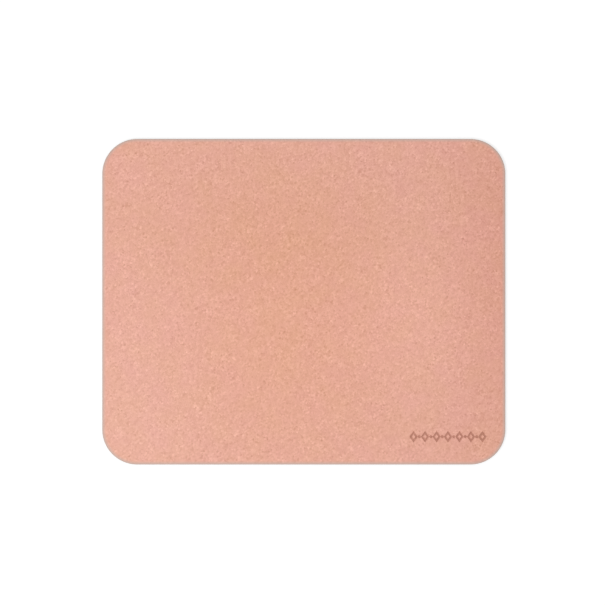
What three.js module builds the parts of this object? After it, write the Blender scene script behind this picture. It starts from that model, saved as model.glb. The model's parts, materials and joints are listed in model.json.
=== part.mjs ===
// Leather mouse pad: a die-cut leather sheet, bonded by a film of adhesive to a non-slip rubber sheet.
// Millimetres, +Z up. The origin is the middle of the underside, +X runs along the long side
// and +Y points away from the user.
import * as THREE from "three";

// Outline of the pad
const PAD_WIDTH = 260;
const PAD_DEPTH = 210;
const CORNER_RADIUS = 22.5;

// Thickness of each layer, from the desk up
const RUBBER_THICKNESS = 1.5;
const ADHESIVE_THICKNESS = 0.2;
const LEATHER_THICKNESS = 2;

// Upper edge of the leather, pared with an edge beveller and rubbed round
const LEATHER_BEVEL_WIDTH = 1;
const LEATHER_BEVEL_HEIGHT = 0.8;

// Lower edge of the rubber, rolled over a little by the cutting die
const RUBBER_ROLL_WIDTH = 0.2;
const RUBBER_ROLL_HEIGHT = 0.3;

// The adhesive stops short of the cut edge, so that none squeezes out
const ADHESIVE_SETBACK = 0.5;

// Facets of each quarter turn, seen from above and in the edge's section
const CORNER_FACETS = 24;
const EDGE_FACETS = 6;

// Height of each layer's upper face, which the next layer shares
const DESK_LEVEL = 0;
const RUBBER_TOP = DESK_LEVEL + RUBBER_THICKNESS;
const ADHESIVE_TOP = RUBBER_TOP + ADHESIVE_THICKNESS;
const LEATHER_TOP = ADHESIVE_TOP + LEATHER_THICKNESS;

const QUARTER_TURN = Math.PI / 2;

const leather = new THREE.MeshStandardMaterial({ color: 0xe4aa95, roughness: 0.62, metalness: 0 });
const adhesive = new THREE.MeshStandardMaterial({ color: 0xc9a36a, roughness: 0.35, metalness: 0 });
const rubber = new THREE.MeshStandardMaterial({ color: 0x26241f, roughness: 0.85, metalness: 0 });

// The pad's outline drawn in by inset, anticlockwise from the right: four arcs, joined by straights.
function outline(inset) {
  const centreX = PAD_WIDTH / 2 - CORNER_RADIUS;
  const centreY = PAD_DEPTH / 2 - CORNER_RADIUS;
  const radius = CORNER_RADIUS - inset;
  const points = [];
  for (const [quarter, sideX, sideY] of [[0, 1, 1], [1, -1, 1], [2, -1, -1], [3, 1, -1]]) {
    for (let facet = 0; facet <= CORNER_FACETS; facet++) {
      const angle = (quarter + facet / CORNER_FACETS) * QUARTER_TURN;
      const x = sideX * centreX + radius * Math.cos(angle);
      const y = sideY * centreY + radius * Math.sin(angle);
      points.push(new THREE.Vector2(x, y));
    }
  }
  return points;
}

// Section of an edge that is rounded where it meets a face, as { inset, z } from the wall to the face.
// The face lies at the given level, and height is negative where the edge rounds downwards.
function roundedEdge(level, width, height) {
  return Array.from({ length: EDGE_FACETS + 1 }, (_, facet) => {
    const angle = (facet / EDGE_FACETS) * QUARTER_TURN;
    return { inset: width * (1 - Math.cos(angle)), z: level - height * (1 - Math.sin(angle)) };
  });
}

// A sheet lofted through the pad's outline, following an edge section listed from the underside up.
function loftSheet(section) {
  const rings = section.map(({ inset, z }) => outline(inset).map(({ x, y }) => [x, y, z]));
  const around = rings[0].length;
  const faces = [];
  for (let ring = 0; ring < rings.length - 1; ring++) {
    for (let point = 0; point < around; point++) {
      const here = ring * around + point;
      const next = ring * around + ((point + 1) % around);
      faces.push(here, next, next + around, here, next + around, here + around);
    }
  }
  const lastRing = (rings.length - 1) * around;
  const cap = THREE.ShapeUtils.triangulateShape(outline(section[0].inset), []);
  for (const [a, b, c] of cap) {
    faces.push(c, b, a);
    faces.push(lastRing + a, lastRing + b, lastRing + c);
  }
  const geometry = new THREE.BufferGeometry();
  geometry.setAttribute("position", new THREE.Float32BufferAttribute(rings.flat(2), 3));
  geometry.setIndex(faces);
  geometry.computeVertexNormals();
  return geometry;
}

function layer(name, section, material) {
  const mesh = new THREE.Mesh(loftSheet(section), material);
  mesh.name = name;
  return mesh;
}

// Non-slip sheet that lies on the desk
function rubberBase() {
  const underside = roundedEdge(DESK_LEVEL, RUBBER_ROLL_WIDTH, -RUBBER_ROLL_HEIGHT).reverse();
  return layer("rubber_base", [...underside, { inset: 0, z: RUBBER_TOP }], rubber);
}

// Film that bonds the two sheets face to face
function adhesiveFilm() {
  const wall = [RUBBER_TOP, ADHESIVE_TOP].map((z) => ({ inset: ADHESIVE_SETBACK, z }));
  return layer("adhesive_film", wall, adhesive);
}

// Sheet that the mouse runs on, grain side up
function leatherTop() {
  const upperEdge = roundedEdge(LEATHER_TOP, LEATHER_BEVEL_WIDTH, LEATHER_BEVEL_HEIGHT);
  return layer("leather_top", [{ inset: 0, z: ADHESIVE_TOP }, ...upperEdge], leather);
}

const mousePad = new THREE.Group();
mousePad.name = "mouse_pad";
mousePad.add(rubberBase(), adhesiveFilm(), leatherTop());

export default mousePad;
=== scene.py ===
"""A leather mouse pad, dressed for its picture.

Three sheets lie on each other: a die-cut leather top with a rubbed, rounded edge and a row of stamped
lozenges, a film of dried adhesive that stops short of the edge, and a rubber base with a waffle of small
pits underneath. Lengths are metres in the part's own frame: +X along the long side, +Y away from the user
and +Z up.
"""

import json
import logging
import math
from collections.abc import Callable, Iterable, Iterator
from contextlib import contextmanager
from dataclasses import dataclass
from enum import Enum

import bmesh
import bpy
from mathutils import Color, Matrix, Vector, noise

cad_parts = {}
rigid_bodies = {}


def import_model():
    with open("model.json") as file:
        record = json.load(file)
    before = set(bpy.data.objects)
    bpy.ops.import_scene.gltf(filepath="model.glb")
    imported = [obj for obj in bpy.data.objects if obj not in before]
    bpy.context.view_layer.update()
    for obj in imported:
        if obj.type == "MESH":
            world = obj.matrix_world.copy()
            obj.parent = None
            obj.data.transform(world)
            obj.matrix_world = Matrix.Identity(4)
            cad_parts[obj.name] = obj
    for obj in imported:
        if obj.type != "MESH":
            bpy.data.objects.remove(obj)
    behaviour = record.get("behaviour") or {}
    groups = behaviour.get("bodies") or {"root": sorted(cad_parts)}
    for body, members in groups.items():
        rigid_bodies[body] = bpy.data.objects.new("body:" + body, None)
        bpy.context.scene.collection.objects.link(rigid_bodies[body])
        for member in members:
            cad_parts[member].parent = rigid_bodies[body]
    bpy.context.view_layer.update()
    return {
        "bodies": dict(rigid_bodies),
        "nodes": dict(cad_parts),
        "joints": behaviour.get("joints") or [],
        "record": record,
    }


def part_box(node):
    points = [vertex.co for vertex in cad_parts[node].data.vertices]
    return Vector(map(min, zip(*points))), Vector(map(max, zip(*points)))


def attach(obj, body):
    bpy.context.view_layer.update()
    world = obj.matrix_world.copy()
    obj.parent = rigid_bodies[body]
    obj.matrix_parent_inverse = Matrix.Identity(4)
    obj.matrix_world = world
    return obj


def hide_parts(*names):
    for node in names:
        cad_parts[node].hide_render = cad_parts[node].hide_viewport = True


LOG = logging.getLogger("mouse_pad")
BODY = "root"
MM = 0.001
CLOSE = 1e-6

# Least z of a flat face's normal, and most of an upright one's
LEVEL = 0.999
UPRIGHT = 0.5

CORNER_FACETS = 28
SMOOTH_BELOW = math.radians(35)
X_AXIS = Vector((1.0, 0.0, 0.0))
Y_AXIS = Vector((0.0, 1.0, 0.0))
DIAGONALS = ((X_AXIS + Y_AXIS).normalized(), (X_AXIS - Y_AXIS).normalized())
DISPLAY_WHITE = 255
WHITE = (1.0, 1.0, 1.0, 1.0)
CHANNEL_MEAN = (1 / 3, 1 / 3, 1 / 3)

Piece = bpy.types.Object
Material = bpy.types.Material
Tree = bpy.types.NodeTree
Socket = bpy.types.NodeSocket
Outputs = bpy.types.bpy_prop_collection
Colour = tuple[float, float, float, float]
Triple = tuple[float, float, float]
Pair = tuple[float, float]
Value = Socket | float | Colour | Triple
PairTest = Callable[[Vector, Vector], bool]


class Layer(Enum):
    """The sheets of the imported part, by node name."""

    LEATHER = "leather_top"
    ADHESIVE = "adhesive_film"
    RUBBER = "rubber_base"


class Slot(Enum):
    """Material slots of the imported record."""

    LEATHER = "leather"
    ADHESIVE = "adhesive"
    RUBBER = "rubber"


class Mask(Enum):
    """Point attributes that a sheet's mesh hands to its finish."""

    PRESSED = "pressed"
    RIM = "rim"
    TREAD = "tread"


class SocketKind(Enum):
    """Kinds of socket on a node group."""

    NUMBER = "NodeSocketFloat"
    POINT = "NodeSocketVector"


def linear(*display: int) -> Colour:
    """Turns a display colour, from 0 to 255, into the linear colour that a shader takes."""
    colour = Color([channel / DISPLAY_WHITE for channel in display])
    return (*colour.from_srgb_to_scene_linear(), 1.0)


def smooth_step(low: float, high: float, value: float) -> float:
    """Eases from 0 where a value is low to 1 where it is high."""
    share = min(1.0, max(0.0, (value - low) / (high - low)))
    return share * share * (3 - 2 * share)


def even_marks(half: float, step: float) -> list[float]:
    """Spaces marks about a step apart, from one end of a length to the other, measured from its middle."""
    count = round(2 * half / step)
    return [half * (2 * line / count - 1) for line in range(count + 1)]


@dataclass(frozen=True)
class PadFrame:
    """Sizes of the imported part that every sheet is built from.

    Attributes:
        half_width: Half of the pad's long side.
        half_depth: Half of the pad's short side.
        corner_radius: Radius of the outline's corners.
        setback: Distance from the outline to the adhesive's edge.
        desk: Height of the underside.
        rubber_top: Height of the rubber's upper face.
        adhesive_top: Height of the leather's flesh side.
        leather_top: Height of the leather's grain side.
    """

    half_width: float
    half_depth: float
    corner_radius: float
    setback: float
    desk: float
    rubber_top: float
    adhesive_top: float
    leather_top: float

    @classmethod
    def read(cls, nodes: dict[str, Piece]) -> "PadFrame":
        """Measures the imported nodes.

        Args:
            nodes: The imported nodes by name.

        Returns:
            The pad's sizes.
        """
        rubber_low, rubber_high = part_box(Layer.RUBBER.value)
        adhesive_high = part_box(Layer.ADHESIVE.value)[1]
        leather_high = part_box(Layer.LEATHER.value)[1]
        points = [vertex.co for vertex in nodes[Layer.LEATHER.value].data.vertices]
        straight_end = max(point.x for point in points if point.y > leather_high.y - CLOSE)
        return cls(
            half_width=leather_high.x,
            half_depth=leather_high.y,
            corner_radius=leather_high.x - straight_end,
            setback=leather_high.x - adhesive_high.x,
            desk=rubber_low.z,
            rubber_top=rubber_high.z,
            adhesive_top=adhesive_high.z,
            leather_top=leather_high.z,
        )

    @property
    def flat_size(self) -> Pair:
        """Width and depth of the cut."""
        return 2 * self.half_width, 2 * self.half_depth

    @property
    def flat_area(self) -> float:
        """Area of the cut, less what the round corners take away."""
        width, depth = self.flat_size
        return width * depth - (4 - math.pi) * self.corner_radius**2

    def distance_in(self, place: Vector) -> float:
        """Measures how far inside the outline a place lies.

        Args:
            place: The place, whose height doesn't count.

        Returns:
            The distance to the outline, which is negative outside it.
        """
        past_x = abs(place.x) - (self.half_width - self.corner_radius)
        past_y = abs(place.y) - (self.half_depth - self.corner_radius)
        outside = math.hypot(max(past_x, 0.0), max(past_y, 0.0))
        return self.corner_radius - outside - min(max(past_x, past_y), 0.0)


def deselect_all() -> None:
    """Deselects every object, so that an operator acts on the new piece alone."""
    bpy.ops.object.select_all(action="DESELECT")


def activate(piece: Piece) -> None:
    """Selects a piece alone and makes it the active one.

    Args:
        piece: The piece.
    """
    deselect_all()
    piece.select_set(True)
    bpy.context.view_layer.objects.active = piece


@contextmanager
def edit_mode(piece: Piece) -> Iterator[None]:
    """Holds a piece in edit mode.

    Args:
        piece: The piece to edit.

    Yields:
        Nothing, while the piece is in edit mode.
    """
    activate(piece)
    bpy.ops.object.mode_set(mode="EDIT")
    yield
    bpy.ops.object.mode_set(mode="OBJECT")


def select_edges(piece: Piece, test: PairTest) -> None:
    """Selects the edges whose two ends pass a test, and nothing else.

    Args:
        piece: The piece in edit mode.
        test: Takes an edge's two ends.
    """
    bpy.ops.mesh.select_mode(type="EDGE")
    bpy.ops.mesh.select_all(action="DESELECT")
    mesh = bmesh.from_edit_mesh(piece.data)
    for edge in mesh.edges:
        start, end = edge.verts
        edge.select_set(test(start.co, end.co))
    bmesh.update_edit_mesh(piece.data)


def select_faces(piece: Piece, test: PairTest) -> None:
    """Selects the faces whose middle and normal pass a test, and nothing else.

    Args:
        piece: The piece in edit mode.
        test: Takes a face's middle and its normal.
    """
    bpy.ops.mesh.select_mode(type="FACE")
    bpy.ops.mesh.select_all(action="DESELECT")
    mesh = bmesh.from_edit_mesh(piece.data)
    for face in mesh.faces:
        face.select_set(test(face.calc_center_median(), face.normal))
    bmesh.update_edit_mesh(piece.data)


def rule_lines(piece: Piece, test: PairTest, axis: Vector, marks: Iterable[float]) -> None:
    """Cuts the faces that pass a test along parallel lines.

    Args:
        piece: The piece in edit mode.
        test: Takes a face's middle and its normal.
        axis: Direction across the lines.
        marks: Distance of each line from the origin along the axis.
    """
    for mark in marks:
        select_faces(piece, test)
        bpy.ops.mesh.bisect(plane_co=axis * mark, plane_no=axis, threshold=CLOSE)


def rounded_plate(name: str, frame: PadFrame, inset: float, low: float, high: float) -> Piece:
    """Adds a plate with the pad's outline, as a cube whose upright edges are rounded.

    Args:
        name: Name of the piece.
        frame: The pad's sizes.
        inset: Distance that the plate stays inside the pad's outline.
        low: Height of the plate's lower face.
        high: Height of its upper face.

    Returns:
        The plate, at the origin and unscaled.
    """
    deselect_all()
    bpy.ops.mesh.primitive_cube_add(size=1.0, location=(0.0, 0.0, (low + high) / 2))
    plate = bpy.context.active_object
    plate.name = name
    plate.data.name = name
    plate.scale = (2 * (frame.half_width - inset), 2 * (frame.half_depth - inset), high - low)
    bpy.ops.object.transform_apply(location=True, rotation=False, scale=True)
    with edit_mode(plate):
        select_edges(plate, lambda start, end: abs(start.z - end.z) > CLOSE)
        radius = frame.corner_radius - inset
        bpy.ops.mesh.bevel(offset=radius, segments=CORNER_FACETS, affect="EDGES", clamp_overlap=False)
    return plate


def round_rim(plate: Piece, height: float, radius: float, facets: int) -> None:
    """Rounds the edge that runs round a plate's upper or lower face.

    Args:
        plate: The plate.
        height: Height of that face.
        radius: Radius of the rounding.
        facets: Facets of its quarter turn.
    """
    with edit_mode(plate):
        select_edges(plate, lambda start, end: max(abs(start.z - height), abs(end.z - height)) < CLOSE)
        bpy.ops.mesh.bevel(offset=radius, segments=facets, affect="EDGES", clamp_overlap=False)


def store_mask(piece: Piece, mask: Mask, amount: Callable[[Vector], float]) -> None:
    """Stores a share from 0 to 1 at each point of a mesh, for the piece's finish."""
    attribute = piece.data.attributes.new(mask.value, "FLOAT", "POINT")
    attribute.data.foreach_set("value", [amount(vertex.co) for vertex in piece.data.vertices])


def smooth_faces(piece: Piece) -> None:
    """Shades a piece smooth, apart from its sharp edges."""
    activate(piece)
    bpy.ops.object.shade_smooth_by_angle(angle=SMOOTH_BELOW)


def place_piece(piece: Piece, layer: Layer, material: Material) -> None:
    """Puts a finished piece on the frame, in place of its packed sheet.

    Args:
        piece: The piece.
        layer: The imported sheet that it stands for.
        material: Its material.
    """
    piece.data.materials.clear()
    piece.data.materials.append(material)
    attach(piece, BODY)
    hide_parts(layer.value)


class Graph:
    """A shader node tree, with short ways to add nodes and join them."""

    def __init__(self, tree: Tree) -> None:
        """Starts on the tree that the nodes go into."""
        self.tree = tree

    def feed(self, socket: Socket, value: Value) -> None:
        """Links a socket to another, or sets its constant.

        Args:
            socket: The input to feed.
            value: The output to link, or the constant.
        """
        if isinstance(value, Socket):
            self.tree.links.new(value, socket)
        else:
            socket.default_value = value

    def node(self, kind: str, inputs: dict[str | int, Value], **settings: object) -> bpy.types.Node:
        """Adds a node.

        Args:
            kind: The node's type.
            inputs: Values for its inputs, by name or by place.
            **settings: The node's own settings, which come first.

        Returns:
            The node.
        """
        made = self.tree.nodes.new(kind)
        for name, setting in settings.items():
            setattr(made, name, setting)
        for key, value in inputs.items():
            self.feed(made.inputs[key], value)
        return made

    def use(self, group: Tree, **inputs: Value) -> Outputs:
        """Places a node group, with values for its inputs, and gives its outputs."""
        return self.node("ShaderNodeGroup", inputs, node_tree=group).outputs

    def point(self) -> Socket:
        """Gives the place on the object, in metres."""
        return self.node("ShaderNodeTexCoord", {}).outputs["Object"]

    def mask(self, mask: Mask) -> Socket:
        """Gives a share from 0 to 1 that the mesh stores."""
        return self.node("ShaderNodeAttribute", {}, attribute_name=mask.value).outputs["Fac"]

    def math(self, operation: str, *numbers: Value) -> Socket:
        """Works out a number from others."""
        return self.node("ShaderNodeMath", dict(enumerate(numbers)), operation=operation).outputs[0]

    def vector(self, operation: str, *vectors: Value, output: str = "Vector") -> Socket:
        """Works out a vector from others, or another output of the operation."""
        made = self.node("ShaderNodeVectorMath", dict(enumerate(vectors)), operation=operation)
        return made.outputs[output]

    def measure(self, operation: str, *vectors: Value) -> Socket:
        """Works out a number from vectors, such as a length."""
        return self.vector(operation, *vectors, output="Value")

    def ease(self, value: Value, low: float, high: float, start: Value = 0.0, end: Value = 1.0) -> Socket:
        """Eases a number from one value to another.

        Args:
            value: The number that drives it.
            low: Where the result leaves start.
            high: Where the result reaches end.
            start: Result at low and under it.
            end: Result at high and over it.

        Returns:
            The eased number.
        """
        sockets = {"Value": value, "From Min": low, "From Max": high, "To Min": start, "To Max": end}
        return self.node("ShaderNodeMapRange", sockets, interpolation_type="SMOOTHSTEP").outputs["Result"]

    def mix(self, share: Value, first: Value, second: Value, blend: str = "MIX") -> Socket:
        """Blends two colours.

        Args:
            share: Share of the second colour.
            first: First colour.
            second: Second colour.
            blend: Way of blending.

        Returns:
            The blended colour.
        """
        mixer = self.node("ShaderNodeMix", {"Factor": share}, data_type="RGBA", blend_type=blend)
        by_name = {socket.identifier: socket for socket in mixer.inputs}
        self.feed(by_name["A_Color"], first)
        self.feed(by_name["B_Color"], second)
        return next(socket for socket in mixer.outputs if socket.identifier == "Result_Color")

    def cover(self, mask: Value, share: float, under: Value, over: Value) -> Socket:
        """Covers a colour with a share of another where a mask is full."""
        return self.mix(self.math("MULTIPLY", mask, share), under, over)

    def stretch(self, point: Value, x: Value, y: Value, z: Value) -> Socket:
        """Scales a place along each axis."""
        factors = self.node("ShaderNodeCombineXYZ", {"X": x, "Y": y, "Z": z}).outputs[0]
        return self.vector("MULTIPLY", point, factors)

    def cells(self, point: Value, size: Value) -> Socket:
        """Scales a place in metres so that one unit is a cell of the given size."""
        factor = self.math("DIVIDE", 1.0, size)
        return self.stretch(point, factor, factor, factor)

    def cloud(self, point: Value, detail: float, scale: float = 1.0) -> Outputs:
        """Adds a soft noise over a place in cells, and gives its outputs."""
        return self.node("ShaderNodeTexNoise", {"Vector": point, "Scale": scale, "Detail": detail}).outputs

    def spots(self, point: Value, feature: str = "F1", scale: float = 1.0, **inputs: Value) -> Outputs:
        """Adds cells with a random spot in each over a place, and gives the node's outputs."""
        sockets = {"Vector": point, "Scale": scale, **inputs}
        return self.node("ShaderNodeTexVoronoi", sockets, feature=feature).outputs

    def random(self, colour: Value, channel: int) -> Socket:
        """Gives one channel of a random colour."""
        return self.node("ShaderNodeSeparateColor", {"Color": colour}).outputs[channel]

    def bump(self, height: Value, strength: float, distance: float) -> Socket:
        """Gives the normal of a relief of the given distance."""
        sockets = {"Height": height, "Strength": strength, "Distance": distance}
        return self.node("ShaderNodeBump", sockets).outputs["Normal"]


class GroupGraph(Graph):
    """The tree of a node group, with its sockets."""

    def __init__(self, name: str, inputs: dict[str, SocketKind], outputs: list[str]) -> None:
        """Makes the group and its sockets.

        Args:
            name: The group's name.
            inputs: Kinds of its inputs, by name.
            outputs: Names of its outputs, which are numbers.
        """
        super().__init__(bpy.data.node_groups.new(name, "ShaderNodeTree"))
        for label, kind in inputs.items():
            self.tree.interface.new_socket(label, in_out="INPUT", socket_type=kind.value)
        for label in outputs:
            self.tree.interface.new_socket(label, in_out="OUTPUT", socket_type=SocketKind.NUMBER.value)
        self.given = self.tree.nodes.new("NodeGroupInput").outputs
        self.result = self.tree.nodes.new("NodeGroupOutput").inputs


@dataclass(frozen=True)
class Mottle:
    """A cloudy unevenness of a given size.

    Attributes:
        detail: Finer layers of cloud.
        thin: Cloud that counts as none.
        full: Cloud that counts as full.
    """

    detail: float = 2.0
    thin: float = 0.25
    full: float = 0.75

    def build(self) -> Tree:
        """Builds the group.

        Returns:
            The group, which puts out an amount from 0 to 1.
        """
        kinds = {"Point": SocketKind.POINT, "Size": SocketKind.NUMBER}
        graph = GroupGraph("mottle", kinds, ["Amount"])
        cloud = graph.cloud(graph.cells(graph.given["Point"], graph.given["Size"]), self.detail)
        graph.feed(graph.result["Amount"], graph.ease(cloud["Fac"], self.thin, self.full))
        return graph.tree


class SoftArea:
    """An oval area, full in its middle, that fades out towards its edge."""

    def build(self) -> Tree:
        """Builds the group.

        Returns:
            The group, which puts out an amount from 0 to 1.
        """
        kinds = {"Point": SocketKind.POINT, "Middle": SocketKind.POINT, "Reach": SocketKind.POINT}
        graph = GroupGraph("soft_area", kinds, ["Amount"])
        offset = graph.vector("SUBTRACT", graph.given["Point"], graph.given["Middle"])
        away = graph.measure("LENGTH", graph.vector("DIVIDE", offset, graph.given["Reach"]))
        graph.feed(graph.result["Amount"], graph.ease(away, 0.0, 1.0, 1.0, 0.0))
        return graph.tree


@dataclass(frozen=True)
class HideGrain:
    """The grain of a hide: pebbles with creases between them, and pores. Sizes are in pebbles.

    Attributes:
        bend: How far the pebbles are pushed out of shape.
        bend_scale: Scale of what pushes them.
        bend_detail: Finer layers of it.
        softness: Softness of the change of tone between pebbles.
        crease: Width of a crease.
        pore_scale: Scale of the cells that hold a pore.
        pore_pick: Random numbers from which a cell begins to hold a pore and surely holds one.
        pore_edge: Distances from a pore's middle between which it ends.
        fine_scale: Scale of the fine relief on the pebbles.
        fine_detail: Finer layers of it.
    """

    bend: float = 0.9
    bend_scale: float = 0.6
    bend_detail: float = 2.0
    softness: float = 0.8
    crease: float = 0.22
    pore_scale: float = 0.75
    pore_pick: Pair = (0.5, 0.7)
    pore_edge: Pair = (0.08, 0.26)
    fine_scale: float = 2.5
    fine_detail: float = 3.0

    def build(self) -> Tree:
        """Builds the group.

        Returns:
            The group, which puts out each pebble's own tone, the crease and pore masks and the height.
        """
        kinds = {"Point": SocketKind.POINT, "Cell": SocketKind.NUMBER}
        graph = GroupGraph("hide_grain", kinds, ["Pebble", "Crease", "Pore", "Height"])
        cells = graph.cells(graph.given["Point"], graph.given["Cell"])
        push = graph.cloud(cells, self.bend_detail, self.bend_scale)["Color"]
        bent = graph.vector("MULTIPLY_ADD", push, (self.bend, self.bend, self.bend), cells)
        pebbles = graph.spots(bent, "SMOOTH_F1", Smoothness=self.softness)
        pebble = graph.measure("DOT_PRODUCT", pebbles["Color"], CHANNEL_MEAN)
        edge = graph.spots(bent, "DISTANCE_TO_EDGE")["Distance"]
        crease = graph.ease(edge, 0.0, self.crease, 1.0, 0.0)
        dots = graph.spots(cells, scale=self.pore_scale)
        chosen = graph.ease(graph.random(dots["Color"], 0), *self.pore_pick)
        pore = graph.math("MULTIPLY", graph.ease(dots["Distance"], *self.pore_edge, 1.0, 0.0), chosen)
        fine = graph.cloud(cells, self.fine_detail, self.fine_scale)["Fac"]
        height = graph.math("SUBTRACT", fine, graph.math("ADD", crease, pore))
        results = {"Pebble": pebble, "Crease": crease, "Pore": pore, "Height": height}
        for label, value in results.items():
            graph.feed(graph.result[label], value)
        return graph.tree


@dataclass(frozen=True)
class CutFibre:
    """Streaks that lie along a cut edge.

    Attributes:
        detail: Finer layers of streaks.
        thin: Noise that counts as no streak.
        full: Noise that counts as a full one.
    """

    detail: float = 3.0
    thin: float = 0.3
    full: float = 0.7

    def build(self) -> Tree:
        """Builds the group.

        Returns:
            The group, which puts out a streak mask.
        """
        kinds = {"Point": SocketKind.POINT, "Run": SocketKind.NUMBER, "Ply": SocketKind.NUMBER}
        graph = GroupGraph("cut_fibre", kinds, ["Streak"])
        along = graph.math("DIVIDE", 1.0, graph.given["Run"])
        up = graph.math("DIVIDE", 1.0, graph.given["Ply"])
        streak = graph.cloud(graph.stretch(graph.given["Point"], along, along, up), self.detail)
        graph.feed(graph.result["Streak"], graph.ease(streak["Fac"], self.thin, self.full))
        return graph.tree


@dataclass(frozen=True)
class Specks:
    """Sparse specks, such as dust or chalk. Sizes are in cells.

    Attributes:
        pick: Random number from which a cell's speck begins to grow.
        least: Radius of the smallest speck.
        most: Radius of the largest one.
        blur: Width of a speck's soft edge.
    """

    pick: float = 0.6
    least: float = 0.02
    most: float = 0.16
    blur: float = 0.04

    def build(self) -> Tree:
        """Builds the group.

        Returns:
            The group, which puts out a speck mask.
        """
        kinds = {"Point": SocketKind.POINT, "Apart": SocketKind.NUMBER}
        graph = GroupGraph("specks", kinds, ["Speck"])
        dots = graph.spots(graph.cells(graph.given["Point"], graph.given["Apart"]))
        size = graph.ease(graph.random(dots["Color"], 1), self.pick, 1.0, self.least, self.most)
        inside = graph.math("SUBTRACT", size, dots["Distance"])
        graph.feed(graph.result["Speck"], graph.ease(inside, 0.0, self.blur))
        return graph.tree


@dataclass(frozen=True)
class Effects:
    """The node groups of the surface effects, which the finishes share.

    Attributes:
        mottle: Cloudy unevenness.
        soft_area: Oval area with a soft edge.
        hide_grain: Grain of a hide.
        cut_fibre: Streaks along a cut edge.
        specks: Sparse specks.
    """

    mottle: Tree
    soft_area: Tree
    hide_grain: Tree
    cut_fibre: Tree
    specks: Tree

    @classmethod
    def build(cls) -> "Effects":
        """Builds each group once."""
        return cls(*(kind().build() for kind in (Mottle, SoftArea, HideGrain, CutFibre, Specks)))


class MaterialGraph(Graph):
    """The graph of a material with a principled surface, and short ways to place the effects in it."""

    def __init__(self, name: str, effects: Effects) -> None:
        """Makes the material.

        Args:
            name: The material's name.
            effects: The shared effects.
        """
        self.material = bpy.data.materials.new(name)
        self.material.use_nodes = True
        super().__init__(self.material.node_tree)
        self.effects = effects
        self.place = self.point()

    def mottle(self, size: float) -> Socket:
        """Gives a cloudy unevenness of the given size."""
        return self.use(self.effects.mottle, Point=self.place, Size=size)["Amount"]

    def soft_area(self, middle: Pair, reach: Pair) -> Socket:
        """Gives an oval area of the given half sizes, seen from above."""
        spot = {"Middle": (*middle, 0.0), "Reach": (*reach, 1.0)}
        return self.use(self.effects.soft_area, Point=self.place, **spot)["Amount"]

    def hide_grain(self, cell: float) -> Outputs:
        """Gives the outputs of a grain with pebbles of the given size."""
        return self.use(self.effects.hide_grain, Point=self.place, Cell=cell)

    def cut_fibre(self, run: float, ply: float) -> Socket:
        """Gives streaks of the given length and thickness."""
        return self.use(self.effects.cut_fibre, Point=self.place, Run=run, Ply=ply)["Streak"]

    def specks(self, apart: float) -> Socket:
        """Gives specks at about the given distance from each other."""
        return self.use(self.effects.specks, Point=self.place, Apart=apart)["Speck"]

    def dressed(self, colour: Value, roughness: Value, normal: Value) -> Material:
        """Feeds the surface, which completes the material.

        Args:
            colour: Colour of the surface.
            roughness: Its roughness.
            normal: Its normal, with the relief.

        Returns:
            The material.
        """
        surface = self.tree.nodes["Principled BSDF"].inputs
        for label, value in {"Base Color": colour, "Roughness": roughness, "Normal": normal}.items():
            self.feed(surface[label], value)
        return self.material


@dataclass(frozen=True)
class StainOrPaintedLight:
    """A soft area that tints the hide: most are stains of the tan, and the list also paints shade and a
    highlight with them.

    Attributes:
        middle: Middle of the area.
        reach: Half sizes of the area.
        tint: Factor on the hide's colour in the middle of the area.
    """

    middle: Pair
    reach: Pair
    tint: Colour


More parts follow.
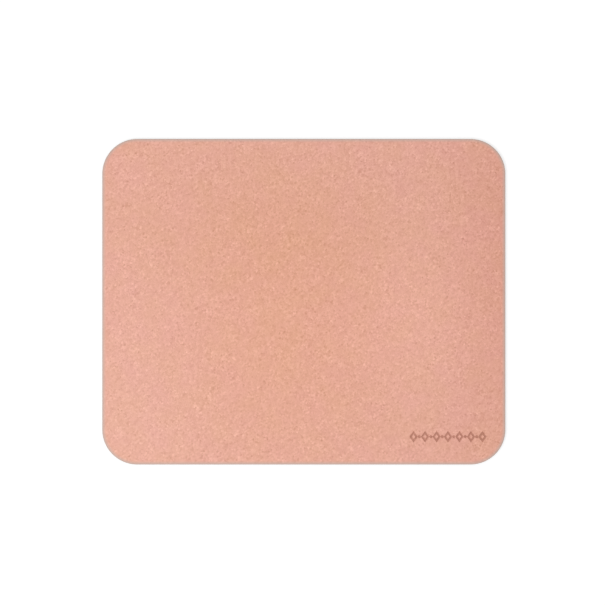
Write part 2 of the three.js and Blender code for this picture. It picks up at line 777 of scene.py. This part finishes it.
@dataclass(frozen=True)
class LeatherFinish:
    """Natural tanned leather: peach, drifting between pink and tan, with a fine grain.

    Attributes:
        hide: Colour of the open grain.
        pale: Colour that a lighter pebble adds and a darker one takes away.
        core: Colour of the pared edge, where the core of the hide shows.
        wall: Colour of the cut wall below it.
        fibre: Colour of the dark fibres in the wall.
        pressed: Factor on the colour where a stamp has burnished the grain.
        stains_and_painted_light: Soft areas in which the colour drifts: two sallow stains across the middle,
            a right side
        darkened by painted shade and browned, with a paler area beside it, and a lower left corner paled by
        a painted highlight.
        patch_size: Size of the small patches in which the tint drifts at an even lightness.
        rosy: Factor on the colour in the rosiest patches.
        sallow: Factor on the colour in the most sallow patches.
        grain_cell: Size of a pebble of the grain.
        pebble_tone: Range of tone among the pebbles, where the clouds calm it and where they strengthen it.
        pebble_middle: Random number of a pebble that is neither lighter nor darker than the hide.
        crease_shade: Darkening in a crease.
        crease_rough: Roughness that a crease adds.
        pore_shade: Darkening in a pore.
        cloud_size: Size of the faint clouds in the tone.
        cloud_tone: How much lighter or darker a cloud is.
        core_cover: How much of the grain's colour the core covers at the edge.
        wall_from: Share of the pared edge at which the cut wall begins.
        fibre_run: Length of the fibres in the cut wall.
        fibre_ply: Thickness of the fibres.
        fibre_cover: How much of the wall's colour they cover.
        roughness: Roughness of the open grain and of the burnished edge and stamp.
        rubbed_band: Shares of the pared edge between which the burnishing sets in.
        rubbed_flat: How much of the relief the burnishing takes away.
        relief: Height of the grain.
        relief_strength: Strength of the grain's relief.
    """

    hide: Colour = linear(224, 164, 144)
    pale: Triple = (0.77, 0.54, 0.46)
    core: Colour = linear(196, 168, 156)
    wall: Colour = linear(190, 142, 116)
    fibre: Colour = linear(140, 94, 70)
    pressed: Colour = (0.62, 0.52, 0.47, 1.0)
    stains_and_painted_light: tuple[StainOrPaintedLight, ...] = (
        StainOrPaintedLight((-25 * MM, 50 * MM), (120 * MM, 70 * MM), (0.97, 0.96, 0.89, 1.0)),
        StainOrPaintedLight((-5 * MM, -20 * MM), (110 * MM, 130 * MM), (0.995, 0.97, 0.89, 1.0)),
        # Painted shade: this area darkens the right side, away from the lamp, and browns the hide there.
        StainOrPaintedLight((145 * MM, 20 * MM), (80 * MM, 220 * MM), (0.93, 0.86, 0.84, 1.0)),
        StainOrPaintedLight((85 * MM, -10 * MM), (80 * MM, 85 * MM), (1.04, 1.05, 1.06, 1.0)),
        # Painted highlight: this area pales and whitens the lower left corner, like the lamp's sheen on the
        # grain.
        StainOrPaintedLight((-120 * MM, -90 * MM), (90 * MM, 140 * MM), (1.02, 1.04, 1.05, 1.0)),
    )
    patch_size: float = 18 * MM
    rosy: Colour = (1.008, 0.9945, 1.038, 1.0)
    sallow: Colour = (0.992, 1.0055, 0.962, 1.0)
    grain_cell: float = 1.0 * MM
    pebble_tone: Pair = (0.235, 0.465)
    pebble_middle: float = 0.457
    crease_shade: float = 0.03
    crease_rough: float = 0.1
    pore_shade: float = 0.09
    cloud_size: float = 6 * MM
    cloud_tone: float = 0.005
    core_cover: float = 0.95
    wall_from: float = 0.95
    fibre_run: float = 6 * MM
    fibre_ply: float = 0.22 * MM
    fibre_cover: float = 0.55
    roughness: Pair = (0.46, 0.42)
    rubbed_band: Pair = (0.5, 0.9)
    rubbed_flat: float = 0.7
    relief: float = 0.1 * MM
    relief_strength: float = 0.6

    def material(self, effects: Effects) -> Material:
        """Builds the material.

        Args:
            effects: The shared effects.

        Returns:
            The material.
        """
        graph = MaterialGraph("leather_grain", effects)
        rim = graph.mask(Mask.RIM)
        pressed = graph.mask(Mask.PRESSED)
        rubbed = graph.math("MAXIMUM", graph.ease(rim, *self.rubbed_band), pressed)
        wall = graph.ease(rim, self.wall_from, 1.0)
        grain = graph.hide_grain(self.grain_cell)
        streak = graph.cut_fibre(self.fibre_run, self.fibre_ply)
        tone = self._tone(graph, grain)
        colour = graph.vector("MULTIPLY_ADD", tone, self.pale, self._hide_colour(graph))
        colour = graph.mix(graph.ease(rim, 0.0, 1.0, 0.0, self.core_cover), colour, self.core)
        colour = graph.mix(wall, colour, graph.cover(streak, self.fibre_cover, self.wall, self.fibre))
        colour = graph.mix(pressed, colour, self.pressed, "MULTIPLY")
        rough = graph.ease(rubbed, 0.0, 1.0, *self.roughness)
        rough = graph.math("MULTIPLY_ADD", grain["Crease"], self.crease_rough, rough)
        flattened = graph.math("MULTIPLY_ADD", rubbed, -self.rubbed_flat, 1.0)
        height = graph.math("MULTIPLY", grain["Height"], flattened)
        height = graph.math("MULTIPLY_ADD", streak, wall, height)
        return graph.dressed(colour, rough, graph.bump(height, self.relief_strength, self.relief))

    def _hide_colour(self, graph: MaterialGraph) -> Socket:
        """Works out the hide's colour, with its small patches, its stains and the painted shade and
        highlight among them.

        Args:
            graph: The material's graph.

        Returns:
            The colour.
        """
        patch = graph.mix(graph.mottle(self.patch_size), self.sallow, self.rosy)
        colour = graph.mix(1.0, self.hide, patch, "MULTIPLY")
        for stain_or_light in self.stains_and_painted_light:
            colour = graph.mix(graph.soft_area(stain_or_light.middle, stain_or_light.reach), colour, stain_or_light.tint, "MULTIPLY")
        return colour

    def _tone(self, graph: MaterialGraph, grain: Outputs) -> Socket:
        """Works out the lights and darks of the grain.

        Args:
            graph: The material's graph.
            grain: Outputs of the grain.

        Returns:
            How much of the pale colour to add, which is negative in the darks.
        """
        cloud = graph.mottle(self.cloud_size)
        lighter = graph.math("SUBTRACT", self.pebble_middle, grain["Pebble"])
        tone = graph.math("MULTIPLY", lighter, graph.ease(cloud, 0.0, 1.0, *self.pebble_tone))
        tone = graph.math("ADD", tone, graph.ease(cloud, 0.0, 1.0, -self.cloud_tone, self.cloud_tone))
        tone = graph.math("MULTIPLY_ADD", grain["Crease"], -self.crease_shade, tone)
        return graph.math("MULTIPLY_ADD", grain["Pore"], -self.pore_shade, tone)


@dataclass(frozen=True)
class AdhesiveFinish:
    """Dried contact adhesive: an amber film, cloudy and satin.

    Attributes:
        clear: Colour of the thin areas.
        thick: Colour of the thick areas.
        chalk: Colour of the chalky specks.
        chalk_apart: Distance between the specks.
        chalk_cover: How much of the film's colour a speck covers.
        cloud_size: Size of the thick areas.
        roughness: Roughness of the thin and of the thick areas.
        relief: Height of the thick areas.
        relief_strength: Strength of that relief.
    """

    clear: Colour = linear(206, 168, 110)
    thick: Colour = linear(150, 104, 52)
    chalk: Colour = linear(220, 205, 180)
    chalk_apart: float = 2 * MM
    chalk_cover: float = 0.5
    cloud_size: float = 5 * MM
    roughness: Pair = (0.3, 0.5)
    relief: float = 0.1 * MM
    relief_strength: float = 0.4

    def material(self, effects: Effects) -> Material:
        """Builds the material.

        Args:
            effects: The shared effects.

        Returns:
            The material.
        """
        graph = MaterialGraph("dried_adhesive", effects)
        cloud = graph.mottle(self.cloud_size)
        film = graph.mix(cloud, self.clear, self.thick)
        colour = graph.cover(graph.specks(self.chalk_apart), self.chalk_cover, film, self.chalk)
        rough = graph.ease(cloud, 0.0, 1.0, *self.roughness)
        return graph.dressed(colour, rough, graph.bump(cloud, self.relief_strength, self.relief))


@dataclass(frozen=True)
class RubberFinish:
    """Natural rubber sheet, black and matt, with a grey bloom, ridges lightened partly by wear and partly by
    painted light against the pits' shade, and a little dust.

    Attributes:
        black: Colour of the fresh rubber.
        bloom: Colour where wax has come to the surface.
        ridge_wear_and_light: Colour of the ridges that touch the desk: partly wear that the desk rubs in,
            partly painted light that sets them off from the shaded pits.
        dust: Colour of the dust specks.
        bloom_size: Size of the clouds of bloom.
        bloom_even: Share of a cloud that covers evenly.
        bloom_fine: Share of a cloud that is broken up finely.
        fine_size: Size of the fine unevenness.
        cut_run: Length of the streaks that the die left on the cut edge.
        cut_ply: Thickness of the streaks.
        cut_cover: How much of the colour they cover.
        ridge_wear_and_light_cover: How much of the colour that lightening of the ridges covers.
        dust_apart: Distance between the dust specks.
        dust_cover: How much of the colour a speck covers.
        roughness: Roughness of the fresh and of the bloomed rubber.
        relief: Height of the fine unevenness.
        relief_strength: Strength of that relief.
    """

    black: Colour = linear(34, 32, 30)
    bloom: Colour = linear(62, 59, 55)
    ridge_wear_and_light: Colour = linear(92, 88, 83)
    dust: Colour = linear(150, 142, 132)
    bloom_size: float = 9 * MM
    bloom_even: float = 0.4
    bloom_fine: float = 0.5
    fine_size: float = 0.7 * MM
    cut_run: float = 9 * MM
    cut_ply: float = 0.3 * MM
    cut_cover: float = 0.25
    ridge_wear_and_light_cover: float = 0.6
    dust_apart: float = 3 * MM
    dust_cover: float = 0.3
    roughness: Pair = (0.68, 0.88)
    relief: float = 0.05 * MM
    relief_strength: float = 0.4

    def material(self, effects: Effects) -> Material:
        """Builds the material.

        Args:
            effects: The shared effects.

        Returns:
            The material.
        """
        graph = MaterialGraph("black_rubber", effects)
        fine = graph.mottle(self.fine_size)
        broken = graph.math("MULTIPLY_ADD", fine, self.bloom_fine, self.bloom_even)
        bloomed = graph.math("MULTIPLY", graph.mottle(self.bloom_size), broken)
        # Lightens the ridges that touch the desk: partly wear, partly painted light against the shade in the
        # pits.
        ridge_wear_and_light_mask = graph.math("MULTIPLY", graph.mask(Mask.TREAD), broken)
        colour = graph.mix(bloomed, self.black, self.bloom)
        colour = graph.cover(graph.cut_fibre(self.cut_run, self.cut_ply), self.cut_cover, colour, self.bloom)
        colour = graph.cover(ridge_wear_and_light_mask, self.ridge_wear_and_light_cover, colour, self.ridge_wear_and_light)
        colour = graph.cover(graph.specks(self.dust_apart), self.dust_cover, colour, self.dust)
        rough = graph.ease(bloomed, 0.0, 1.0, *self.roughness)
        return graph.dressed(colour, rough, graph.bump(fine, self.relief_strength, self.relief))


@dataclass(frozen=True)
class StampRow:
    """A row of open lozenges with dots between them, pressed into the grain side.

    Attributes:
        middle: Middle of the row.
        count: Number of lozenges.
        pitch: Distance from one lozenge to the next.
        half_across: Half of a lozenge's width, along the row.
        half_up: Half of its height.
        stroke: Width of a lozenge's line.
        dot: Radius of a dot.
        shoulder: Width of the soft shoulder round what is pressed.
        depth: Depth of the press.
        lip: Height of the lip that the stamp pushes up round it.
        lip_width: Width of the lip.
    """

    middle: Vector = Vector((93 * MM, -87 * MM, 0.0)).freeze()
    count: int = 7
    pitch: float = 7.4 * MM
    half_across: float = 2.6 * MM
    half_up: float = 3.6 * MM
    stroke: float = 1.15 * MM
    dot: float = 0.9 * MM
    shoulder: float = 0.3 * MM
    depth: float = 0.3 * MM
    lip: float = 0.08 * MM
    lip_width: float = 0.7 * MM

    @property
    def half_length(self) -> float:
        """Half of the row's length."""
        return (self.count - 1) * self.pitch / 2 + self.half_across

    def holds(self, place: Vector, margin: float) -> bool:
        """Tells whether a place lies on the row or within a margin round it."""
        away = place - self.middle
        return abs(away.x) <= self.half_length + margin and abs(away.y) <= self.half_up + margin

    def pressed(self, place: Vector) -> float:
        """Gives how far the stamp presses at a place, as a share of its full depth."""
        return smooth_step(-self.shoulder / 2, self.shoulder / 2, self._inside(place))

    def sunk(self, place: Vector) -> float:
        """Works out how deep the stamp sinks a place.

        Args:
            place: The place, whose height doesn't count.

        Returns:
            The depth, which is negative on the lip.
        """
        pressed = self.pressed(place)
        pushed = smooth_step(-self.lip_width, -self.shoulder / 2, self._inside(place))
        return self.depth * pressed - self.lip * pushed * (1 - pressed)

    def _inside(self, place: Vector) -> float:
        """Measures how far inside a lozenge's line or a dot a place lies.

        Args:
            place: The place, whose height doesn't count.

        Returns:
            The distance to its edge, which is negative outside it and stops at the lip's width.
        """
        if not self.holds(place, self.lip_width):
            return -self.lip_width
        along = place.x - self.middle.x + self.half_length - self.half_across
        up = place.y - self.middle.y
        index = min(self.count - 1, max(0, round(along / self.pitch)))
        off = along - index * self.pitch
        slant = self.half_across * self.half_up / math.hypot(self.half_across, self.half_up)
        inside = (1 - abs(off) / self.half_across - abs(up) / self.half_up) * slant
        line = min(inside, self.stroke - inside)
        gap = min(self.count - 2, max(0, math.floor(along / self.pitch)))
        spot = self.dot - math.hypot(along - (gap + 1 / 2) * self.pitch, up)
        return max(line, spot, -self.lip_width)


@dataclass
class LeatherSheet:
    """The leather top: a sheet with the outline of the die, an uneven grain side and a rounded upper edge.

    Attributes:
        frame: The pad's sizes.
        finish: Its finish.
        stamp: What is pressed into its grain side.
        edge_radius: Radius of the rubbed upper edge.
        edge_facets: Facets of that edge.
        pared_band: Width of the band along the edge that was pared and rubbed.
        cell: Size of the cells that the grain side is ruled into.
        stamp_cuts: Cuts of each cell under the stamp.
        swell: Unevenness of the sheet's thickness.
        swell_size: Size of the swells.
        calm: Width of the band along the edge in which the swells die out.
    """

    frame: PadFrame
    finish: LeatherFinish
    stamp: StampRow
    edge_radius: float = 0.9 * MM
    edge_facets: int = 6
    pared_band: float = 2.7 * MM
    cell: float = 4 * MM
    stamp_cuts: int = 19
    swell: float = 0.2 * MM
    swell_size: float = 45 * MM
    calm: float = 12 * MM

    def build(self, effects: Effects) -> Piece:
        """Models and dresses the sheet.

        Args:
            effects: The shared effects.

        Returns:
            The finished piece.
        """
        frame = self.frame
        sheet = rounded_plate("leather_sheet", frame, 0.0, frame.adhesive_top, frame.leather_top)
        round_rim(sheet, frame.leather_top, self.edge_radius, self.edge_facets)
        self._rule_cells(sheet)
        self._press_and_swell(sheet)
        smooth_faces(sheet)
        store_mask(sheet, Mask.RIM, self._on_rim)
        store_mask(sheet, Mask.PRESSED, self.stamp.pressed)
        place_piece(sheet, Layer.LEATHER, self.finish.material(effects))
        return sheet

    def _on_grain_side(self, middle: Vector, normal: Vector) -> bool:
        """Tells whether a face belongs to the flat grain side."""
        return normal.z > LEVEL and middle.z > self.frame.leather_top - CLOSE

    def _under_stamp(self, middle: Vector, normal: Vector) -> bool:
        """Tells whether a face of the grain side takes the stamp."""
        return self._on_grain_side(middle, normal) and self.stamp.holds(middle, self.cell / 2)

    def _on_rim(self, place: Vector) -> float:
        """Gives the share of the pared edge at a place, from 0 at its inner line to 1 at the outline."""
        return 1 - min(1.0, max(0.0, self.frame.distance_in(place) / self.pared_band))

    def _rule_cells(self, sheet: Piece) -> None:
        """Parts the pared band from the grain side and cuts it into cells, with finer ones under the stamp.

        Args:
            sheet: The sheet.
        """
        with edit_mode(sheet):
            select_faces(sheet, self._on_grain_side)
            bpy.ops.mesh.inset(thickness=self.pared_band - self.edge_radius)
            for axis, half in ((X_AXIS, self.frame.half_width), (Y_AXIS, self.frame.half_depth)):
                rule_lines(sheet, self._on_grain_side, axis, even_marks(half, self.cell)[1:-1])
            select_faces(sheet, self._under_stamp)
            bpy.ops.mesh.subdivide(number_cuts=self.stamp_cuts)

    def _press_and_swell(self, sheet: Piece) -> None:
        """Presses the stamp into the grain side and gives the sheet its uneven thickness.

        Args:
            sheet: The sheet.
        """
        for vertex in sheet.data.vertices:
            place = vertex.co
            if place.z < self.frame.leather_top - CLOSE:
                continue
            sunk = (1 + noise.noise(Vector((place.x, place.y, 0.0)) / self.swell_size)) / 2
            fade = smooth_step(self.edge_radius, self.calm, self.frame.distance_in(place))
            place.z -= max(0.0, self.swell * sunk * fade + self.stamp.sunk(place))


@dataclass
class AdhesiveLayer:
    """The dried adhesive between the sheets, with an uneven edge where it was spread.

    Attributes:
        frame: The pad's sizes.
        finish: Its finish.
        cell: Distance between the points of its edge.
        waver: How far its edge wavers.
        waver_size: Length of the waves.
    """

    frame: PadFrame
    finish: AdhesiveFinish
    cell: float = 3 * MM
    waver: float = 0.3 * MM
    waver_size: float = 9 * MM

    def build(self, effects: Effects) -> Piece:
        """Models and dresses the film.

        Args:
            effects: The shared effects.

        Returns:
            The finished piece.
        """
        frame = self.frame
        film = rounded_plate("adhesive_layer", frame, frame.setback, frame.rubber_top, frame.adhesive_top)
        with edit_mode(film):
            for axis, half in ((X_AXIS, frame.half_width), (Y_AXIS, frame.half_depth)):
                rule_lines(film, self._on_wall, axis, even_marks(half - frame.corner_radius, self.cell))
        for vertex in film.data.vertices:
            outward = Vector((vertex.co.x, vertex.co.y, 0.0)).normalized()
            vertex.co += outward * (self.waver * noise.noise(vertex.co / self.waver_size))
        smooth_faces(film)
        place_piece(film, Layer.ADHESIVE, self.finish.material(effects))
        return film

    @staticmethod
    def _on_wall(middle: Vector, normal: Vector) -> bool:
        """Tells whether a face belongs to the film's edge."""
        return abs(normal.z) < UPRIGHT


@dataclass
class RubberSheet:
    """The rubber base: a die-cut sheet with a waffle of small pits in diagonal rows underneath.

    Attributes:
        frame: The pad's sizes.
        finish: Its finish.
        pitch: Distance from one pit to the next.
        ridge: Width of the ridge between two pits.
        slope: Width of a pit's sloping side, seen from below.
        pit_depth: Depth of a pit.
        margin: Least distance from the outline to the middle of a pit.
        roll: Radius of the lower edge.
        roll_facets: Facets of that edge.
    """

    frame: PadFrame
    finish: RubberFinish
    pitch: float = 3.4 * MM
    ridge: float = 1.0 * MM
    slope: float = 0.45 * MM
    pit_depth: float = 0.45 * MM
    margin: float = 5 * MM
    roll: float = 0.2 * MM
    roll_facets: int = 3

    def build(self, effects: Effects) -> Piece:
        """Models and dresses the sheet.

        Args:
            effects: The shared effects.

        Returns:
            The finished piece.
        """
        frame = self.frame
        sheet = rounded_plate("rubber_sheet", frame, 0.0, frame.desk, frame.rubber_top)
        round_rim(sheet, frame.desk, self.roll, self.roll_facets)
        self._sink_pits(sheet)
        smooth_faces(sheet)
        store_mask(sheet, Mask.TREAD, lambda place: float(place.z < frame.desk + CLOSE))
        place_piece(sheet, Layer.RUBBER, self.finish.material(effects))
        return sheet

    def _underneath(self, middle: Vector, normal: Vector) -> bool:
        """Tells whether a face lies on the desk."""
        return normal.z < -LEVEL and middle.z < self.frame.desk + CLOSE

    def _takes_pit(self, middle: Vector, normal: Vector) -> bool:
        """Tells whether a cell of the underside takes a pit."""
        return self._underneath(middle, normal) and self.frame.distance_in(middle) > self.margin

    def _sink_pits(self, sheet: Piece) -> None:
        """Cuts the underside into diagonal cells and sinks a pit into each whole one.

        Args:
            sheet: The sheet.
        """
        reach = (self.frame.half_width + self.frame.half_depth) / math.sqrt(2)
        marks = even_marks(self.pitch * math.floor(reach / self.pitch), self.pitch)
        with edit_mode(sheet):
            for axis in DIAGONALS:
                rule_lines(sheet, self._underneath, axis, marks)
            select_faces(sheet, self._takes_pit)
            bpy.ops.mesh.inset(thickness=self.ridge / 2, use_individual=True)
            bpy.ops.mesh.inset(thickness=self.slope, depth=-self.pit_depth, use_individual=True)


@dataclass(frozen=True)
class PhotoCamera:
    """The camera, which looks straight down on the pad.

    Attributes:
        seen_width: Width of the picture where it meets the leather's face.
        aim: Where the middle of the picture falls on the pad.
        lens: Focal length in millimetres.
        sensor: Sensor width in millimetres.
        near: Nearest distance that it shows.
        far: Furthest distance that it shows.
    """

    seen_width: float = 390 * MM
    aim: Pair = (-0.85 * MM, -0.5 * MM)
    lens: float = 100.0
    sensor: float = 36.0
    near: float = 0.01
    far: float = 20.0

    def build(self, frame: PadFrame) -> Piece:
        """Adds the camera.

        Args:
            frame: The pad's sizes.

        Returns:
            The camera.
        """
        height = frame.leather_top + self.seen_width * self.lens / self.sensor
        bpy.ops.object.camera_add(location=(*self.aim, height), rotation=(0.0, 0.0, 0.0))
        camera = bpy.context.active_object
        camera.name = "photo_camera"
        camera.data.lens = self.lens
        camera.data.sensor_width = self.sensor
        camera.data.clip_start = self.near
        camera.data.clip_end = self.far
        bpy.context.scene.camera = camera
        return camera


@dataclass(frozen=True)
class Studio:
    """A white floor under a soft sky, with one large lamp to the left of the pad.

    Attributes:
        sky: Strength of the sky that lights the pad.
        lamp_place: Place of the lamp.
        lamp_size: Diameter of the lamp.
        lamp_power: Power of the lamp in watts.
        floor_radius: Radius of the floor.
        floor_sides: Sides of the floor's outline.
        floor_grey: Grey of the floor.
        floor_lift: Light that the floor adds where it is seen, to be white.
        fade: Distances between which the floor fades into the sky.
    """

    sky: float = 0.72
    lamp_place: Triple = (-0.31, -0.2, 0.98)
    lamp_size: float = 0.5
    lamp_power: float = 3.9
    floor_radius: float = 6.0
    floor_sides: int = 96
    floor_grey: float = 0.42
    floor_lift: float = 0.64
    fade: Pair = (0.35, 0.9)

    def build(self, frame: PadFrame) -> None:
        """Adds the sky, the lamp and the floor.

        Args:
            frame: The pad's sizes.
        """
        bpy.context.scene.view_settings.view_transform = "Standard"
        self._sky()
        self._lamp()
        self._floor(frame)

    @staticmethod
    def _seen(graph: Graph) -> Socket:
        """Tells rays that show the background from rays that light the pad.

        Args:
            graph: The graph of the background.

        Returns:
            1 for rays from the camera, from gloss and through glass.
        """
        path = graph.node("ShaderNodeLightPath", {}).outputs
        shown = graph.math("MAXIMUM", path["Is Camera Ray"], path["Is Glossy Ray"])
        return graph.math("MAXIMUM", shown, path["Is Transmission Ray"])

    def _sky(self) -> None:
        """Makes the sky: white where it is seen, softer where it lights."""
        world = bpy.data.worlds.new("soft_sky")
        world.use_nodes = True
        bpy.context.scene.world = world
        graph = Graph(world.node_tree)
        background = world.node_tree.nodes["Background"]
        graph.feed(background.inputs["Color"], WHITE)
        graph.feed(background.inputs["Strength"], graph.ease(self._seen(graph), 0.0, 1.0, self.sky, 1.0))

    def _lamp(self) -> None:
        """Adds the lamp, turned towards the pad."""
        bpy.ops.object.light_add(type="AREA", location=self.lamp_place)
        lamp = bpy.context.active_object
        lamp.name = "window_lamp"
        lamp.rotation_euler = (-Vector(self.lamp_place)).to_track_quat("-Z", "Y").to_euler()
        lamp.data.shape = "DISK"
        lamp.data.size = self.lamp_size
        lamp.data.energy = self.lamp_power

    def _floor(self, frame: PadFrame) -> None:
        """Adds the floor that the pad lies on.

        Args:
            frame: The pad's sizes.
        """
        deselect_all()
        bpy.ops.mesh.primitive_circle_add(
            vertices=self.floor_sides,
            radius=self.floor_radius,
            fill_type="NGON",
            location=(0.0, 0.0, frame.desk),
        )
        floor = bpy.context.active_object
        floor.name = "studio_floor"
        bpy.ops.object.transform_apply(location=True, rotation=False, scale=False)
        floor.data.materials.append(self._floor_material())

    def _floor_material(self) -> Material:
        """Builds the floor's material, which keeps the pad's shadow and fades into the sky.

        Returns:
            The material.
        """
        material = bpy.data.materials.new("white_floor")
        material.use_nodes = True
        nodes = material.node_tree.nodes
        nodes.remove(nodes["Principled BSDF"])
        graph = Graph(material.node_tree)
        seen = self._seen(graph)
        grey = (self.floor_grey, self.floor_grey, self.floor_grey, 1.0)
        matt = graph.node("ShaderNodeBsdfDiffuse", {"Color": grey}).outputs[0]
        strength = graph.math("MULTIPLY", seen, self.floor_lift)
        lift = graph.node("ShaderNodeEmission", {"Strength": strength}).outputs[0]
        white = graph.node("ShaderNodeEmission", {"Strength": 1.0}).outputs[0]
        near = graph.node("ShaderNodeAddShader", {0: matt, 1: lift}).outputs[0]
        away = graph.ease(graph.measure("LENGTH", graph.point()), *self.fade)
        faded = graph.math("MULTIPLY", seen, away)
        mixed = graph.node("ShaderNodeMixShader", {0: faded, 1: near, 2: white}).outputs[0]
        graph.feed(nodes["Material Output"].inputs["Surface"], mixed)
        return material


def main() -> None:
    """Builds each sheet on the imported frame, and then the studio and the camera."""
    logging.basicConfig(level=logging.INFO, format="%(name)s: %(message)s")
    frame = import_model()
    pad = PadFrame.read(frame["nodes"])
    effects = Effects.build()
    sheets = (
        RubberSheet(pad, RubberFinish()),
        AdhesiveLayer(pad, AdhesiveFinish()),
        LeatherSheet(pad, LeatherFinish(), StampRow()),
    )
    for sheet in sheets:
        piece = sheet.build(effects)
        LOG.info("%s has %d faces", piece.name, len(piece.data.polygons))
    Studio().build(pad)
    camera = PhotoCamera().build(pad)
    LOG.info("%s looks down from %.3f m", camera.name, camera.location.z)


if __name__ == "__main__":
    main()
